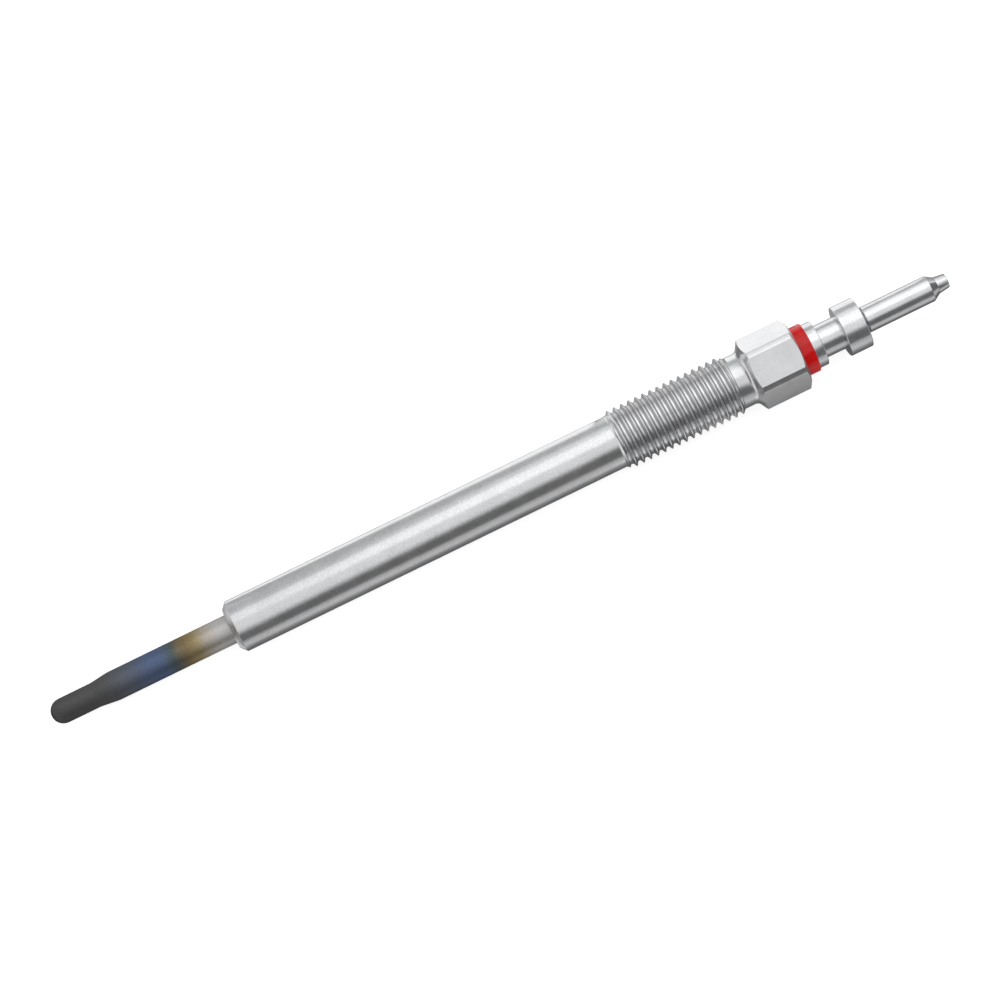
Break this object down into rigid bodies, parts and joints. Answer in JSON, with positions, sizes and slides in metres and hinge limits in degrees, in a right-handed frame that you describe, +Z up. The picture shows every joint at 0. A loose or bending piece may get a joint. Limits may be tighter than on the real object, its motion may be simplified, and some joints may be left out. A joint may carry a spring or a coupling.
{
  "type": "diesel glow plug",
  "caption": "Slim metal-sheathed diesel glow plug with a stepped heater tip, seat cone, long barrel, fine thread, hexagon, red insulating washer and push-on terminal pin.",
  "frame": {"origin": "on the surface that the plug lies on, below the middle of its bounding box", "axes": "+X along the plug from its heater tip to its terminal, which rises by about 0.7 degrees, +Z up out of the surface, +Y to the left of +X"},
  "size_m": [0.126, 0.0096, 0.0088],
  "materials": {
    "housing_steel": "satin plated steel, turned",
    "glow_tube_alloy": "satin heat-tinted nickel alloy",
    "filament": "drawn resistance wire",
    "magnesia": "packed powder",
    "seal_rubber": "moulded elastomer",
    "rod_steel": "drawn steel",
    "red_plastic": "moulded, semi-gloss",
    "terminal_nickel": "bright nickel plate, turned"
  },
  "bodies": {
    "root": {"housing": "housing_steel", "glow_tube": "glow_tube_alloy", "heating_coil": "filament", "control_coil": "filament", "insulating_powder": "magnesia", "tube_seal": "seal_rubber", "centre_rod": "rod_steel", "housing_seal": "seal_rubber", "insulating_washer": "red_plastic", "terminal_pin": "terminal_nickel"}
  },
  "joints": []
}
